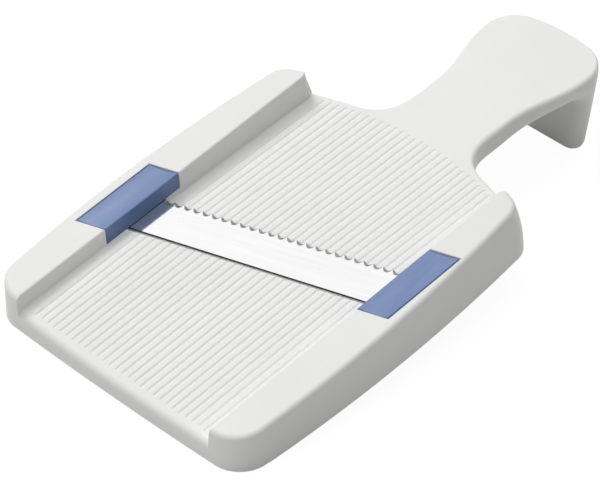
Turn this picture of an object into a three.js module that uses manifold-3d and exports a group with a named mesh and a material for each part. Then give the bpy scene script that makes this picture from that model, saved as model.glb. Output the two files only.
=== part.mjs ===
// Vegetable slicer: a one-piece moulded body, a scalloped blade set askew and two blade clips.
// Millimetres, +Z up. The slicer stands on its near rim and on the hook at the end of its grip,
// so its rails and decks climb towards the handle, which lies along +Y.
import * as THREE from 'three';
import { mergeGeometries, mergeVertices } from 'three/addons/utils/BufferGeometryUtils.js';
import Module from 'manifold-3d';

const wasm = await Module();
wasm.setup();

const radians = THREE.MathUtils.degToRad;

// Stance
const RAIL_SLOPE = radians(9); // climb of the rail tops
const RIM_SLOPE = radians(6); // climb of the lower rim behind the near foot
const FOOT_LENGTH = 15; // near part of the rim that lies flat on the table
const NEAR_HEIGHT = 15.6; // rail tops above the table at the near end

// Body outline, seen from above
const RUNWAY_WIDTH = 101; // between the rails, at their tops
const NEAR_HALF_WIDTH = 65.4; // where the near corners end
const FAR_HALF_WIDTH = 62.4; // where the far corners begin
const SIDE_BULGE = 3.2; // how far the sides bow out between their corners
const NEAR_CORNER_RADIUS = 13;
const FAR_CORNER_RADIUS = 9.5;
const NEAR_EDGE_BOW = 1.1;
const RAIL_LENGTH = 151.3; // near end to the far end of the rails, at the entry deck
const FAR_EDGE_BOW = 10.8; // how far the entry deck runs on between the rails' far ends

// Moulding
const WALL = 2.4;
const CLEARANCE = 0.3; // between pieces that seat on each other
const EDGE_ROUND = 2; // outer edges
const LIP_ROUND = 4.5; // over the near end of the exit deck
const RAIL_DRAFT = radians(3); // inner faces of the rails
const FAR_DRAFT = radians(14); // far faces of the body
const RAIL_END_ROUND = 3.5; // between a rail's inner and far faces

// Decks
const EXIT_DEPTH = 7.2; // exit deck below the rail tops
const SLICE = 1.2; // cutting edge above the entry deck
const ENTRY_FALL = radians(2.1); // fall of the entry deck away from the blade
const BLADE_SEAM = 0.9; // between the exit deck and the blade's back
const ENTRY_TUCK = 1; // entry deck running in under the cutting edge

// Grooves in both decks
const GROOVE_COUNT = 28;
const GROOVE_PITCH = 3.3;
const GROOVE_RADIUS = 0.6;
const GROOVE_DEPTH = 0.4;
const GROOVE_NEAR_MARGIN = 3.6; // plain lip before the grooves begin
const GROOVE_FAR_MARGIN = 1.6; // plain border behind the grooves

// Blade
const BLADE_SKEW = radians(16.3); // its right end lies nearer the handle
const BLADE_Y = 79.5; // middle of the blade
const BLADE_WIDTH = 18;
const BLADE_THICKNESS = 0.8;
const BLADE_REACH = 9; // blade past the runway, into each rail
const SCALLOP_PITCH = 4;
const SCALLOP_RADIUS = 2.6;
const SCALLOP_ANGLE = radians(25); // grind, to the face of the blade
const SCALLOP_BITE = 0.6; // depth of the scallops in the cutting edge

// Blade clips
const CLIP_Y = 77.5; // middle of the pair of clips
const CLIP_LENGTH = 37.2;
const CLIP_WIDTH = 12.2;
const CLIP_PLATE = 2.4;
const CLIP_WALL = 2.4;
const CLIP_DISH = 0.35; // hollow along the top
const SEAT_RISE = 0.2; // pocket floor above the exit deck
const LEDGE = 3; // moulding left under the blade's ends
const PEG_RADIUS = 2;
const PEG_INSET = 3.6; // peg axis to the end of its clip

// Handle and hook
const NECK_WIDTH = 36.6;
const NECK_FILLET = 17;
const NECK_LENGTH = 9; // straight part
const GRIP_WIDTH = 52;
const FLARE_EASE = 0.42; // how gently the neck opens into the grip, 0 to 0.5
const HANDLE_END = 240.4;
const GRIP_END_LENGTH = 14.9; // over which the grip's sides turn into its end
const GRIP_CORNER = 14;
const GRIP_END_BOW = 0.7;
const HANDLE_THICKNESS = 8;
const HOOK_DEPTH = 15.9; // hook's inner face to the end of the grip
const HOOK_TAPER = 2.6; // how far the hook's outer faces draw in down to its foot
const HOOK_LEAN = radians(3); // further lean of the hook's outer end
const HOOK_FOOT_ROUND = 7;
const HOOK_COVE = 8; // round between the handle's underside and the hook
const HOOK_WEB = 12; // moulding between the handle's hollow and the hook's inner face

// Reach of cutting shapes past what they cut
const PAST = 100;

// Fineness of the curves
const CURVE_STEPS = 8;
const ROUND_STEPS = 3;
const PEG_SIDES = 20;
const GROOVE_SIDES = 8;
const WHEEL_SIDES = 24;

const WHITE = { color: 0xe6e6e4, roughness: 0.5, metalness: 0 };
const STEEL = { color: 0xd8dadc, roughness: 0.12, metalness: 1 };
const BLUE = { color: 0x6f86b0, roughness: 0.45, metalness: 0 };

const runwayHalf = RUNWAY_WIDTH / 2;
const neckHalf = NECK_WIDTH / 2;
const gripHalf = GRIP_WIDTH / 2;
const deckHalf = runwayHalf + WALL / 2; // decks are let half a wall into the rails
const gripSideEnd = HANDLE_END - GRIP_END_LENGTH;
const hookFaceY = HANDLE_END - HOOK_DEPTH;
const entryDepth = EXIT_DEPTH + BLADE_THICKNESS + SLICE;
const seatDepth = EXIT_DEPTH - SEAT_RISE;
const ledgeDepth = EXIT_DEPTH + BLADE_THICKNESS + CLEARANCE;
const bladeEnd = runwayHalf + BLADE_REACH;
const bladePlanSlope = Math.tan(BLADE_SKEW) * Math.cos(RAIL_SLOPE);

// The body and clips are shaped in a level frame, where the rail tops lie at height 0,
// and then sheared upwards, which keeps their walls vertical.
const railShear = new THREE.Matrix4().set(
  1, 0, 0, 0,
  0, 1, 0, 0,
  0, Math.tan(RAIL_SLOPE), 1, NEAR_HEIGHT,
  0, 0, 0, 1,
);

const toLevel = railShear.clone().invert();

// In the level frame the blade is turned by its skew and foreshortened by the climb of the rails.
const bladeTurn = new THREE.Matrix4()
  .makeTranslation(0, BLADE_Y, 0)
  .multiply(new THREE.Matrix4().makeScale(1, Math.cos(RAIL_SLOPE), 1))
  .multiply(new THREE.Matrix4().makeRotationZ(BLADE_SKEW));

// Height of the entry deck against its height at the cutting edge
const entryEdgeY = BLADE_Y + (BLADE_WIDTH / 2 / Math.cos(BLADE_SKEW)) * Math.cos(RAIL_SLOPE);
const entryFallX = Math.tan(ENTRY_FALL) * Math.sin(BLADE_SKEW);
const entryFallY = Math.tan(ENTRY_FALL) * Math.cos(BLADE_SKEW);
const entryShear = new THREE.Matrix4().set(
  1, 0, 0, 0,
  0, 1, 0, 0,
  entryFallX, -entryFallY, 1, entryFallY * entryEdgeY,
  0, 0, 0, 1,
);

// Solids

function solid(geometry) {
  const bare = geometry.index ? geometry.toNonIndexed() : geometry.clone();
  bare.deleteAttribute('normal');
  bare.deleteAttribute('uv');
  const merged = mergeVertices(bare, 1e-5);
  return new wasm.Manifold(new wasm.Mesh({
    numProp: 3,
    vertProperties: new Float32Array(merged.attributes.position.array),
    triVerts: new Uint32Array(merged.index.array),
  }));
}

function surface(body) {
  const mesh = body.getMesh();
  const geometry = new THREE.BufferGeometry();
  geometry.setAttribute('position', new THREE.BufferAttribute(new Float32Array(mesh.vertProperties), 3));
  geometry.setIndex(new THREE.BufferAttribute(new Uint32Array(mesh.triVerts), 1));
  return geometry;
}

function moved(body, matrix) {
  return solid(surface(body).applyMatrix4(matrix));
}

// Upright block under an outline, with its top edge rounded
function upright(outline, top, round = 0) {
  const geometry = new THREE.ExtrudeGeometry(outline, {
    depth: PAST,
    bevelEnabled: round > 0,
    bevelThickness: round,
    bevelSize: round,
    bevelOffset: -round,
    bevelSegments: ROUND_STEPS,
    curveSegments: CURVE_STEPS,
  });
  return geometry.translate(0, 0, top - PAST - round);
}

// Far end leaning out towards the rim, hinged at the height of the entry deck
function leanedY(y, z) {
  const lean = Math.tan(FAR_DRAFT) * (z + entryDepth);
  return y * (1 - lean / RAIL_LENGTH);
}

function leanFarEnd(geometry) {
  const place = geometry.attributes.position;
  for (let i = 0; i < place.count; i += 1) {
    place.setY(i, leanedY(place.getY(i), place.getZ(i)));
  }
  return geometry;
}

function box(lowX, lowY, lowZ, highX, highY, highZ) {
  return new THREE.BoxGeometry(highX - lowX, highY - lowY, highZ - lowZ)
    .translate((lowX + highX) / 2, (lowY + highY) / 2, (lowZ + highZ) / 2);
}

// Block whose end view, drawn in X and Z, runs along Y
function alongY(endView, lowY, highY) {
  const geometry = new THREE.ExtrudeGeometry(endView, { depth: highY - lowY, bevelEnabled: false });
  return geometry.rotateX(Math.PI / 2).translate(0, highY, 0);
}

// Block whose side view, drawn in Y and Z, runs along X
function alongX(sideView, halfWidth) {
  const geometry = new THREE.ExtrudeGeometry(sideView, { depth: halfWidth * 2, bevelEnabled: false });
  const axes = new THREE.Matrix4().makeBasis(
    new THREE.Vector3(0, 1, 0),
    new THREE.Vector3(0, 0, 1),
    new THREE.Vector3(1, 0, 0),
  );
  return geometry.applyMatrix4(axes).translate(-halfWidth, 0, 0);
}

function polygon(points) {
  return new THREE.Shape(points.map(([x, y]) => new THREE.Vector2(x, y)));
}

// Outlines

const farCornerX = FAR_HALF_WIDTH - FAR_CORNER_RADIUS;
const farEdgeTurn = Math.atan2(2 * FAR_EDGE_BOW, FAR_HALF_WIDTH);
const farEdgeX = farCornerX + FAR_CORNER_RADIUS * Math.sin(farEdgeTurn);
const farCornerY = RAIL_LENGTH - FAR_CORNER_RADIUS * Math.cos(farEdgeTurn);

// The far edge of the body is one shallow parabola.
function farEdgeY(x) {
  return RAIL_LENGTH + FAR_EDGE_BOW * (1 - (x / farEdgeX) ** 2);
}

function followFarEdge(shape, fromX, toX) {
  const bendY = RAIL_LENGTH + FAR_EDGE_BOW * (1 - (fromX * toX) / farEdgeX ** 2);
  shape.quadraticCurveTo((fromX + toX) / 2, bendY, toX, farEdgeY(toX));
}

function bodyOutline(inset) {
  const nearX = NEAR_HALF_WIDTH - NEAR_CORNER_RADIUS;
  const nearRadius = NEAR_CORNER_RADIUS - inset;
  const farRadius = FAR_CORNER_RADIUS - inset;
  const bulgeX = (NEAR_HALF_WIDTH + FAR_HALF_WIDTH) / 2 + 2 * SIDE_BULGE - inset;
  const bulgeY = (NEAR_CORNER_RADIUS + farCornerY) / 2;
  const farX = farCornerX + farRadius * Math.sin(farEdgeTurn);
  const farY = farCornerY + farRadius * Math.cos(farEdgeTurn);
  const shape = new THREE.Shape();
  shape.moveTo(-nearX, inset);
  shape.quadraticCurveTo(0, inset - 2 * NEAR_EDGE_BOW, nearX, inset);
  shape.absarc(nearX, NEAR_CORNER_RADIUS, nearRadius, -Math.PI / 2, 0);
  shape.quadraticCurveTo(bulgeX, bulgeY, FAR_HALF_WIDTH - inset, farCornerY);
  shape.absarc(farCornerX, farCornerY, farRadius, 0, Math.PI / 2 - farEdgeTurn);
  shape.quadraticCurveTo(0, farY + 2 * FAR_EDGE_BOW, -farX, farY);
  shape.absarc(-farCornerX, farCornerY, farRadius, Math.PI / 2 + farEdgeTurn, Math.PI);
  shape.quadraticCurveTo(-bulgeX, bulgeY, inset - NEAR_HALF_WIDTH, NEAR_CORNER_RADIUS);
  shape.absarc(-nearX, NEAR_CORNER_RADIUS, nearRadius, Math.PI, Math.PI * 1.5);
  return shape;
}

const filletX = neckHalf + NECK_FILLET;
const neckStart = farEdgeY(neckHalf) + NECK_FILLET;
const neckEnd = neckStart + NECK_LENGTH;
const deckBackY = farEdgeY(filletX); // body's back wall under the neck
const flareBend = (gripSideEnd - neckEnd) * FLARE_EASE;

// Rounded end of the grip, from its right side to its left side
function followGripEnd(shape, inset) {
  const grip = gripHalf - inset;
  const end = HANDLE_END - GRIP_END_BOW - inset;
  shape.quadraticCurveTo(grip, end, grip - GRIP_CORNER, end);
  shape.quadraticCurveTo(0, end + 2 * GRIP_END_BOW, GRIP_CORNER - grip, end);
  shape.quadraticCurveTo(-grip, end, -grip, gripSideEnd);
}

// Neck, flare and rounded end of the handle, from its right root to its left root
function followHandle(shape, inset) {
  const neck = neckHalf - inset;
  const grip = gripHalf - inset;
  shape.quadraticCurveTo(neck, farEdgeY(neckHalf), neck, neckStart);
  shape.lineTo(neck, neckEnd);
  shape.bezierCurveTo(neck, neckEnd + flareBend, grip, gripSideEnd - flareBend, grip, gripSideEnd);
  followGripEnd(shape, inset);
  shape.bezierCurveTo(-grip, gripSideEnd - flareBend, -neck, neckEnd + flareBend, -neck, neckEnd);
  shape.lineTo(-neck, neckStart);
  shape.quadraticCurveTo(-neck, farEdgeY(neckHalf), -filletX, farEdgeY(filletX));
}

// Entry deck with the handle
function entryOutline() {
  const shape = new THREE.Shape();
  shape.moveTo(-deckHalf, 0);
  shape.lineTo(deckHalf, 0);
  shape.lineTo(deckHalf, farEdgeY(deckHalf));
  followFarEdge(shape, deckHalf, filletX);
  followHandle(shape, 0);
  followFarEdge(shape, -filletX, -deckHalf);
  return shape;
}

// Handle alone
function handleOutline(inset) {
  const shape = new THREE.Shape();
  shape.moveTo(-filletX, farEdgeY(filletX));
  shape.lineTo(filletX, farEdgeY(filletX));
  followHandle(shape, inset);
  return shape;
}

// Grip's end alone, with room for the cove before it
function gripEndOutline(inset) {
  const shape = new THREE.Shape();
  shape.moveTo(inset - gripHalf, neckEnd);
  shape.lineTo(gripHalf - inset, neckEnd);
  shape.lineTo(gripHalf - inset, gripSideEnd);
  followGripEnd(shape, inset);
  return shape;
}

// Parallelogram on the right-hand side, its ends in line with the blade
function clipOutline(lowX, highX, halfLength) {
  const middle = (x) => CLIP_Y + bladePlanSlope * x;
  return polygon([
    [lowX, middle(lowX) - halfLength],
    [highX, middle(highX) - halfLength],
    [highX, middle(highX) + halfLength],
    [lowX, middle(lowX) + halfLength],
  ]);
}

// Half turn about the middle of the clips, which takes the right-hand side to the left
const halfTurn = new THREE.Matrix4()
  .makeTranslation(0, 2 * CLIP_Y, 0)
  .multiply(new THREE.Matrix4().makeRotationZ(Math.PI));

// Level box in the blade's own directions: along it, across it towards the handle, and up
function bladeBox(lowAcross, highAcross, low, high, halfLength) {
  return solid(box(-halfLength, lowAcross, low, halfLength, highAcross, high).applyMatrix4(bladeTurn));
}

const pastExit = bladeBox(-BLADE_WIDTH / 2 - BLADE_SEAM, 2 * PAST, -2 * PAST, PAST, 2 * PAST);
const beforeEntry = bladeBox(-2 * PAST, BLADE_WIDTH / 2 - ENTRY_TUCK, -2 * PAST, PAST, 2 * PAST);

// Body

// Space between two upright planes either side of the runway, leaning with the rails' draft
function runwaySpace(spread) {
  const top = runwayHalf + spread + Math.tan(RAIL_DRAFT) * PAST;
  const low = runwayHalf + spread - Math.tan(RAIL_DRAFT) * PAST;
  return solid(alongY(polygon([[-top, PAST], [-low, -PAST], [low, -PAST], [top, PAST]]), -PAST, 4 * PAST));
}

// Waste at the upright edge between a rail's inner and far faces, on the side of that sign
function railEndWaste(side) {
  const cornerY = farEdgeY(runwayHalf);
  const outerX = runwayHalf + RAIL_END_ROUND;
  const shape = new THREE.Shape();
  shape.moveTo(side * runwayHalf, cornerY - RAIL_END_ROUND);
  shape.quadraticCurveTo(side * runwayHalf, cornerY, side * outerX, farEdgeY(outerX));
  shape.lineTo(side * outerX, cornerY + WALL);
  shape.lineTo(side * (runwayHalf - WALL), cornerY + WALL);
  shape.lineTo(side * (runwayHalf - WALL), cornerY - RAIL_END_ROUND);
  const draft = new THREE.Matrix4().makeShear(0, 0, 0, 0, side * Math.tan(RAIL_DRAFT), 0);
  const underDeckEdge = box(-PAST, -PAST, -2 * PAST, PAST, 3 * PAST, -entryDepth - EDGE_ROUND);
  return solid(leanFarEnd(upright(shape, PAST / 2)).applyMatrix4(draft))
    .subtract(solid(underDeckEdge.applyMatrix4(entryShear)));
}

const bodyBlock = solid(leanFarEnd(upright(bodyOutline(0), 0, EDGE_ROUND)));
const rails = bodyBlock.subtract(runwaySpace(0)).subtract(railEndWaste(-1)).subtract(railEndWaste(1));

const betweenRails = solid(box(-deckHalf, -PAST, -2 * PAST, deckHalf, 4 * PAST, PAST));
const exitDeck = solid(upright(bodyOutline(0), -EXIT_DEPTH, LIP_ROUND))
  .intersect(betweenRails)
  .subtract(pastExit);
const backWall = solid(leanFarEnd(upright(bodyOutline(0), -entryDepth, EDGE_ROUND)).applyMatrix4(entryShear))
  .intersect(betweenRails);

// The hook hangs from the end of the grip and draws in towards its foot.
function handleTop(y) {
  return -entryDepth - entryFallY * (y - entryEdgeY);
}
const hookTop = handleTop(hookFaceY) - HANDLE_THICKNESS / 2;
const hookFoot = -NEAR_HEIGHT - Math.tan(RAIL_SLOPE) * HANDLE_END;
const hookHeight = hookTop - hookFoot;

// Seen from behind, the hook stands on the table with the lower corners of its foot rounded.
function hookView(inset) {
  const half = gripHalf - inset - HOOK_TAPER * (1 - HOOK_FOOT_ROUND / hookHeight);
  const shape = new THREE.Shape();
  shape.moveTo(-PAST, PAST);
  shape.lineTo(-PAST, HOOK_FOOT_ROUND);
  shape.lineTo(-half, HOOK_FOOT_ROUND);
  shape.quadraticCurveTo(-half, 0, HOOK_FOOT_ROUND - half, 0);
  shape.lineTo(HOOK_FOOT_ROUND - half, -PAST);
  shape.lineTo(half - HOOK_FOOT_ROUND, -PAST);
  shape.lineTo(half - HOOK_FOOT_ROUND, 0);
  shape.quadraticCurveTo(half, 0, half, HOOK_FOOT_ROUND);
  shape.lineTo(PAST, HOOK_FOOT_ROUND);
  shape.lineTo(PAST, PAST);
  return shape;
}

function hookBlock(inset, lowY) {
  const tapered = new THREE.ExtrudeGeometry(gripEndOutline(inset), {
    depth: HANDLE_THICKNESS,
    bevelThickness: hookHeight,
    bevelSize: HOOK_TAPER,
    bevelOffset: -HOOK_TAPER,
    bevelSegments: 1,
    curveSegments: CURVE_STEPS,
  });
  const lean = new THREE.Matrix4().makeShear(0, 0, 0, 0, 0, Math.tan(HOOK_LEAN));
  return solid(tapered.applyMatrix4(lean).translate(0, 0, hookTop))
    .intersect(solid(upright(handleOutline(inset), hookTop)))
    .intersect(solid(alongY(hookView(inset), lowY, HANDLE_END).applyMatrix4(toLevel)));
}

const underTable = hookFoot - HOOK_COVE;

// Side view of the space under the handle, from the body's back wall
function underHandle() {
  const coveFoot = handleTop(deckBackY) - HANDLE_THICKNESS - HOOK_COVE;
  const shape = new THREE.Shape();
  shape.moveTo(leanedY(deckBackY, underTable), underTable);
  shape.lineTo(leanedY(deckBackY, coveFoot), coveFoot);
  shape.quadraticCurveTo(
    deckBackY, handleTop(deckBackY) - HANDLE_THICKNESS,
    deckBackY + HOOK_COVE, handleTop(deckBackY + HOOK_COVE) - HANDLE_THICKNESS,
  );
  return shape;
}

const pastHandle = HANDLE_END + PAST;
const underWhole = underHandle();
underWhole.lineTo(pastHandle, handleTop(pastHandle) - HANDLE_THICKNESS);
underWhole.lineTo(pastHandle, underTable);

const underToHook = underHandle();
underToHook.lineTo(hookFaceY - HOOK_COVE, handleTop(hookFaceY - HOOK_COVE) - HANDLE_THICKNESS);
underToHook.quadraticCurveTo(
  hookFaceY, handleTop(hookFaceY) - HANDLE_THICKNESS,
  hookFaceY, handleTop(hookFaceY) - HANDLE_THICKNESS - HOOK_COVE,
);
underToHook.lineTo(hookFaceY, underTable);

const entryDeck = solid(upright(entryOutline(), -entryDepth, EDGE_ROUND).applyMatrix4(entryShear))
  .add(backWall)
  .subtract(beforeEntry)
  .subtract(solid(alongX(underWhole, PAST)));
const hook = hookBlock(0, hookFaceY - 2 * HOOK_COVE).subtract(solid(alongX(underToHook, PAST)));

let level = rails.add(exitDeck).add(entryDeck).add(hook);

// Hollow underside: inside the rails, under each deck, in the handle and in the hook
const insideRails = solid(leanFarEnd(upright(bodyOutline(WALL), -WALL))).subtract(runwaySpace(WALL));
const underExit = solid(upright(bodyOutline(WALL), -EXIT_DEPTH - WALL))
  .subtract(bladeBox(BLADE_WIDTH / 2 - ENTRY_TUCK, 2 * PAST, -2 * PAST, PAST, 2 * PAST));
const underEntry = solid(leanFarEnd(upright(bodyOutline(WALL), -entryDepth - WALL)).applyMatrix4(entryShear))
  .subtract(bladeBox(-2 * PAST, -BLADE_WIDTH / 2 - BLADE_SEAM, -2 * PAST, PAST, 2 * PAST))
  .intersect(solid(leanFarEnd(box(-PAST, -PAST, -2 * PAST, PAST, deckBackY - WALL, PAST))));
const inHandle = solid(upright(handleOutline(WALL), -entryDepth - WALL).applyMatrix4(entryShear))
  .intersect(solid(box(-PAST, deckBackY + HOOK_COVE, -2 * PAST, PAST, hookFaceY - HOOK_WEB, PAST)));
const inHook = hookBlock(WALL, hookFaceY + WALL)
  .subtract(solid(box(-PAST, 0, hookTop - HANDLE_THICKNESS, PAST, 3 * PAST, PAST)));
level = level.subtract(insideRails).subtract(underExit).subtract(underEntry);
level = level.subtract(inHandle).subtract(inHook);

// Bosses in the rails, cut by the clips' pockets, the blade's slots and the peg holes
const pegX = runwayHalf + CLIP_WALL + (CLIP_WIDTH - CLIP_WALL) / 2;
const pegSpread = CLIP_LENGTH / 2 - PEG_INSET;
const bossFoot = -ledgeDepth - LEDGE;
const clipOuter = runwayHalf + CLIP_WIDTH;
const clipHalf = CLIP_LENGTH / 2;

function pegs(radius, low, high) {
  const middleY = CLIP_Y + bladePlanSlope * pegX;
  const peg = new THREE.CylinderGeometry(radius, radius, high - low, PEG_SIDES)
    .rotateX(Math.PI / 2)
    .translate(pegX, middleY, (low + high) / 2);
  return mergeGeometries([
    peg.clone().translate(0, -pegSpread, 0),
    peg.clone().translate(0, pegSpread, 0),
  ]);
}

const fringe = CLEARANCE + WALL;
const boss = solid(upright(clipOutline(runwayHalf, clipOuter + fringe, clipHalf + fringe), -EDGE_ROUND))
  .intersect(solid(box(-PAST, -PAST, bossFoot, PAST, 2 * PAST, 0)))
  .intersect(bodyBlock);
const pocketOutline = clipOutline(runwayHalf - WALL, clipOuter + CLEARANCE, clipHalf + CLEARANCE);
const pocket = solid(upright(pocketOutline, PAST / 2))
  .intersect(solid(box(-PAST, -PAST, -seatDepth, PAST, 2 * PAST, PAST)))
  .add(solid(pegs(PEG_RADIUS + CLEARANCE, bossFoot - WALL, 0)));
level = level.add(boss).add(moved(boss, halfTurn));
level = level.subtract(pocket).subtract(moved(pocket, halfTurn));

// The blade's ends run square to the rails.
function bladeOutline(grow) {
  const half = BLADE_WIDTH / 2 + grow;
  const along = (x, across) => (x + across * Math.sin(BLADE_SKEW)) / Math.cos(BLADE_SKEW);
  return polygon([
    [along(-bladeEnd - grow, -half), -half],
    [along(bladeEnd + grow, -half), -half],
    [along(bladeEnd + grow, half), half],
    [along(-bladeEnd - grow, half), half],
  ]);
}

function bladePlate(grow, thickness) {
  return new THREE.ExtrudeGeometry(bladeOutline(grow), { depth: thickness, bevelEnabled: false })
    .translate(0, 0, -thickness);
}

level = level.subtract(solid(bladePlate(CLEARANCE, ledgeDepth).applyMatrix4(bladeTurn)));

// Grooves
function groove(x, from, to, depth) {
  return new THREE.CylinderGeometry(GROOVE_RADIUS, GROOVE_RADIUS, to - from, GROOVE_SIDES)
    .rotateY(Math.PI / GROOVE_SIDES)
    .translate(x, (from + to) / 2, GROOVE_RADIUS - GROOVE_DEPTH - depth);
}

const exitGrooves = [];
const entryGrooves = [];
for (let i = 0; i < GROOVE_COUNT; i += 1) {
  const x = (i - (GROOVE_COUNT - 1) / 2) * GROOVE_PITCH;
  const middle = BLADE_Y + bladePlanSlope * x;
  const far = farEdgeY(x) - GROOVE_FAR_MARGIN;
  exitGrooves.push(groove(x, GROOVE_NEAR_MARGIN, middle, EXIT_DEPTH));
  entryGrooves.push(groove(x, middle, far, entryDepth));
}
level = level.subtract(solid(mergeGeometries(exitGrooves)));
level = level.subtract(solid(mergeGeometries(entryGrooves).applyMatrix4(entryShear)));

// Stand the body up: lower rim and flat feet
const rimCut = box(-PAST, -PAST, -2 * PAST, PAST, deckBackY, 0)
  .applyMatrix4(new THREE.Matrix4().makeRotationX(RIM_SLOPE))
  .translate(0, FOOT_LENGTH, 0);
const tableCut = box(-PAST, -PAST, -2 * PAST, PAST, 4 * PAST, 0);
const bodySolid = moved(level, railShear).subtract(solid(rimCut)).subtract(solid(tableCut));

// Blade
let bladeSolid = solid(bladePlate(0, BLADE_THICKNESS));
const scallopCount = Math.floor(RUNWAY_WIDTH / Math.cos(BLADE_SKEW) / SCALLOP_PITCH);
const scallopStart = SCALLOP_BITE + BLADE_THICKNESS / Math.tan(SCALLOP_ANGLE);
const scallopReach = 3 * SCALLOP_RADIUS;
const edgeMiddle = (BLADE_WIDTH / 2) * Math.tan(BLADE_SKEW);
for (let i = 0; i < scallopCount; i += 1) {
  const along = edgeMiddle + (i - (scallopCount - 1) / 2) * SCALLOP_PITCH;
  const wheel = new THREE.CylinderGeometry(SCALLOP_RADIUS, SCALLOP_RADIUS, 2 * scallopReach, WHEEL_SIDES)
    .translate(0, 0, SCALLOP_RADIUS)
    .rotateX(-SCALLOP_ANGLE)
    .translate(along, BLADE_WIDTH / 2 - scallopStart, 0);
  bladeSolid = bladeSolid.subtract(solid(wheel));
}

// Clip, as on the right-hand side
const clipPlate = solid(upright(clipOutline(runwayHalf, clipOuter, clipHalf), 0))
  .intersect(solid(box(-PAST, -PAST, -CLIP_PLATE, PAST, 2 * PAST, PAST)));
const clipWall = solid(upright(clipOutline(runwayHalf, runwayHalf + CLIP_WALL, clipHalf), -CLIP_PLATE / 2))
  .intersect(solid(box(-PAST, -PAST, CLEARANCE - seatDepth, PAST, 2 * PAST, PAST)));
const dishView = new THREE.Shape();
dishView.moveTo(runwayHalf, 0);
dishView.quadraticCurveTo((runwayHalf + clipOuter) / 2, -2 * CLIP_DISH, clipOuter, 0);
const dish = solid(alongY(dishView, -PAST, 3 * PAST));
const clipSolid = clipPlate.add(clipWall)
  .add(solid(pegs(PEG_RADIUS, bossFoot, -CLIP_PLATE / 2)))
  .subtract(dish);

// Assembly

function piece(name, geometry, look) {
  geometry.computeVertexNormals();
  const mesh = new THREE.Mesh(geometry, new THREE.MeshStandardMaterial(look));
  mesh.name = name;
  return mesh;
}

const slicer = new THREE.Group();
slicer.add(piece('body', surface(bodySolid), WHITE));

const blade = piece('blade', surface(bladeSolid), STEEL);
blade.rotation.set(RAIL_SLOPE, 0, BLADE_SKEW);
blade.position.set(0, BLADE_Y, NEAR_HEIGHT + Math.tan(RAIL_SLOPE) * BLADE_Y - EXIT_DEPTH);
slicer.add(blade);

slicer.add(piece('clip_right', surface(clipSolid).applyMatrix4(railShear), BLUE));
slicer.add(piece('clip_left', surface(clipSolid).applyMatrix4(halfTurn).applyMatrix4(railShear), BLUE));

// Origin at the middle of the footprint, on the table
slicer.position.y = (NEAR_EDGE_BOW - HANDLE_END) / 2;

export default slicer;
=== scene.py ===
import math

import bmesh
import bpy
import numpy as np
from mathutils import Matrix, Vector


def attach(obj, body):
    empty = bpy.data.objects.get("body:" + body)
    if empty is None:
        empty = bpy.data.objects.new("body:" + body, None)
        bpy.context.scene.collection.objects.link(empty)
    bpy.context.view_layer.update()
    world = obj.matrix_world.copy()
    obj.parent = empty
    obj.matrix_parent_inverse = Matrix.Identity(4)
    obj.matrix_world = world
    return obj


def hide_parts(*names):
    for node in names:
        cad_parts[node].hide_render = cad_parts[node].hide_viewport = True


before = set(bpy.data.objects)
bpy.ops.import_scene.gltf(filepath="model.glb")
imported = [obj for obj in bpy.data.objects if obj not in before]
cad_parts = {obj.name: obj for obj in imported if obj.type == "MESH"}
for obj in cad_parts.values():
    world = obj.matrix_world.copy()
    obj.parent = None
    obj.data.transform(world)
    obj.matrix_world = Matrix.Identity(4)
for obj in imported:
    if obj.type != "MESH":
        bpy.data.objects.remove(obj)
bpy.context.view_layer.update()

# Sizes in millimetres, in the frame of the slicer's own solids: Y runs from the near end of the rails
# to the grip. The moulding is shaped level, with its rail tops at height 0, and then tipped up.
MM = 0.001
RAIL_SLOPE = math.radians(9)
RIM_SLOPE = math.radians(6)
FOOT_LENGTH = 15.0
NEAR_HEIGHT = 15.6

RUNWAY_HALF = 50.5
NEAR_HALF = 65.4
FAR_HALF = 62.4
SIDE_BULGE = 3.19
NEAR_CORNER = 13.0
FAR_CORNER = 9.5
NEAR_BOW = 1.1
RAIL_LENGTH = 151.3
FAR_BOW = 10.8

WALL = 2.4
CLEARANCE = 0.3
EDGE_ROUND = 2.1
FAR_EDGE_ROUND = 1.0
EDGE_CONTRAST = 0.9
RAIL_EDGE = 0.7
RAIL_EDGE_SWEEP = math.radians(84)
RAIL_END_ROUND = 3.0
LIP_ROUND = 2.6
NEAR_RIM_ROUND = 1.5
SIDE_RIM_ROUND = 0.5
FAR_SWELL = 0.8
FAR_SWELL_LENGTH = 30.0
FAR_SWELL_RISE = 25.0
RAIL_DRAFT = math.tan(math.radians(3))
FAR_DRAFT = math.tan(math.radians(14))

DECK_FILLET = 0.9
FILLET_SWEEP = math.radians(86)
FILLET_START = 0.2
FILLET_LEAD_IN = 0.5
FILLET_LEAD_OUT = 5.0
FILLET_END = 2.2
FILLET_LEAST = 0.04
FILLET_SINK = 0.02
FILLET_ROOT = 1.4

EXIT_DEPTH = 7.2
SLICE = 1.2
ENTRY_FALL = math.tan(math.radians(2.1))
BLADE_SEAM = 1.5
SEAT_LIP = 3.0
ENTRY_TUCK = 1.0
UNDER_BLADE = 4.0

GROOVE_COUNT = 28
GROOVE_PITCH = 3.3
GROOVE_HALF = 1.0
GROOVE_DEPTH = 0.45
GROOVE_NEAR_MARGIN = 3.6
GROOVE_FAR_MARGIN = 2.6
GROOVE_TOOL_LENGTH = 75.0
GROOVE_TOOL_SIDE = 0.3
GROOVE_TOOL_BRIM = (0.12, 0.6)
GROOVE_RUN_OUT = 1.2
GROOVE_END_WIDTH = 0.55
GROOVE_END_RISE = 0.02

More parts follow.
